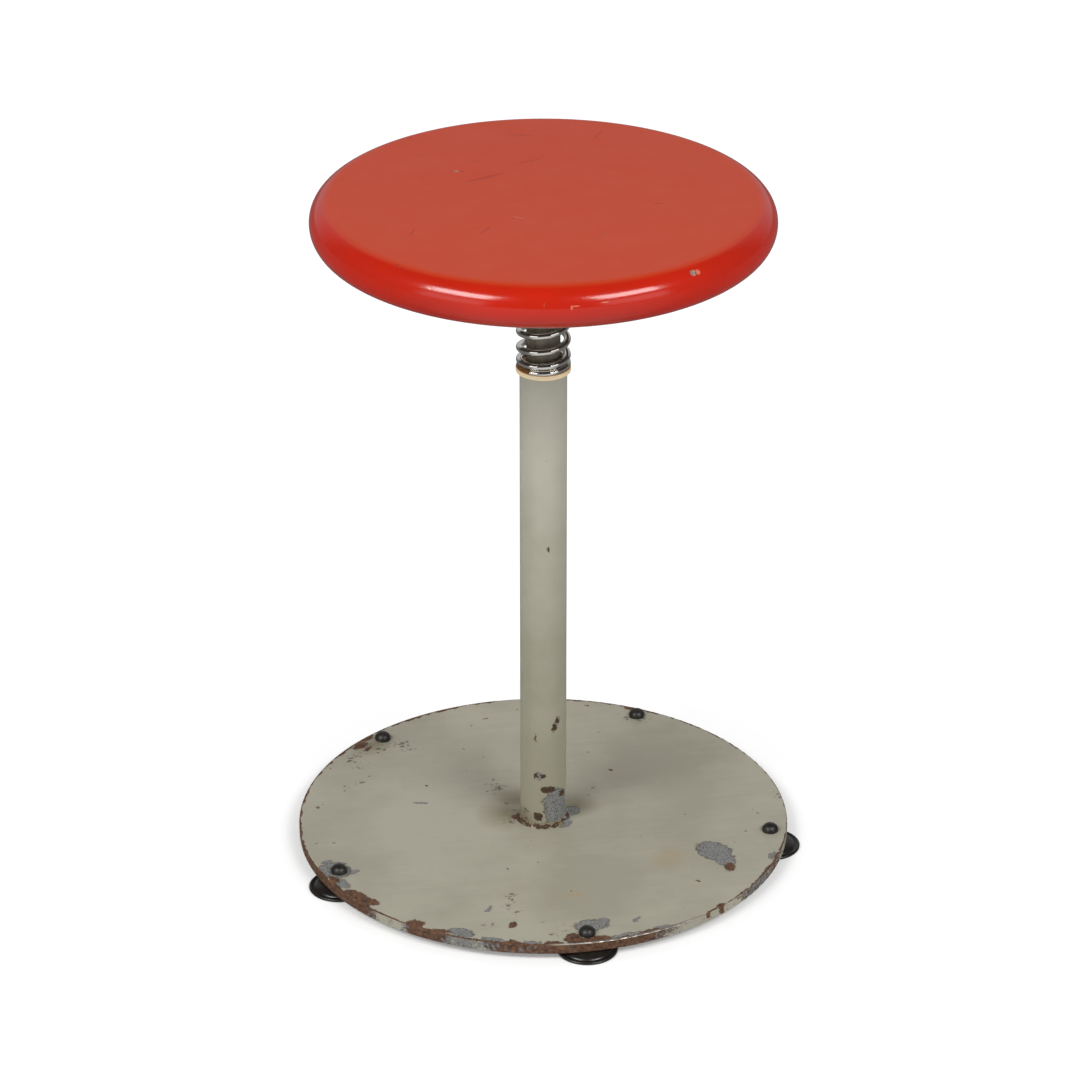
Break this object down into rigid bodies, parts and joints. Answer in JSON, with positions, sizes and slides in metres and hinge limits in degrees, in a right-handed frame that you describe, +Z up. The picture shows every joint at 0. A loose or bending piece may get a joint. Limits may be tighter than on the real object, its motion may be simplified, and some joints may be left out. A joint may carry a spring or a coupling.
{
  "type": "sprung stool",
  "caption": "Round stool with a lacquered wooden seat on a coil spring and plunger rod, a steel column and a round steel base on rubber suction feet.",
  "frame": {"origin": "on the column's axis, at floor level, at the centre of the circle of feet", "axes": "+Z up along the column, with the first foot on the -Y axis"},
  "size_m": [0.3636, 0.37, 0.505],
  "materials": {
    "grey_paint": "warm grey enamel, semi-gloss, chipped and rusted at the edges",
    "black_rubber": "moulded black rubber, satin",
    "nylon": "aged cream nylon, satin",
    "spring_steel": "bright plated spring wire",
    "rod_steel": "plain turned bar, greased",
    "plain_steel": "bare mild steel",
    "zinc_plate": "bright zinc plate",
    "red_lacquer": "red lacquer over turned solid wood, glossy, worn on top"
  },
  "bodies": {
    "stand": {"base_plate": "grey_paint", "column_tube": "grey_paint", "column_weld": "grey_paint", "top_bush": "nylon", "suction_foot_1": "black_rubber", "suction_foot_2": "black_rubber", "suction_foot_3": "black_rubber", "suction_foot_4": "black_rubber", "suction_foot_5": "black_rubber"},
    "spring": {"coil_spring": "spring_steel"},
    "seat": {"seat_board": "red_lacquer", "seat_flange": "plain_steel", "rod_weld": "plain_steel", "flange_screws": "zinc_plate", "plunger_rod": "rod_steel", "guide_piston": "nylon", "piston_washer": "zinc_plate", "piston_lock_washer": "zinc_plate", "piston_bolt": "zinc_plate"}
  },
  "joints": [
    {"name": "seat_swivel", "type": "hinge", "parent": "stand", "child": "spring", "pos_m": [0, 0, 0.3785], "axis": [0, 0, 1], "continuous": true},
    {"name": "seat_bounce", "type": "slide", "parent": "spring", "child": "seat", "axis": [0, 0, 1], "range_m": [-0.04, 0], "stiffness_N_per_m": 24000, "springref_m": 0.002, "deforming": ["coil_spring"]}
  ]
}
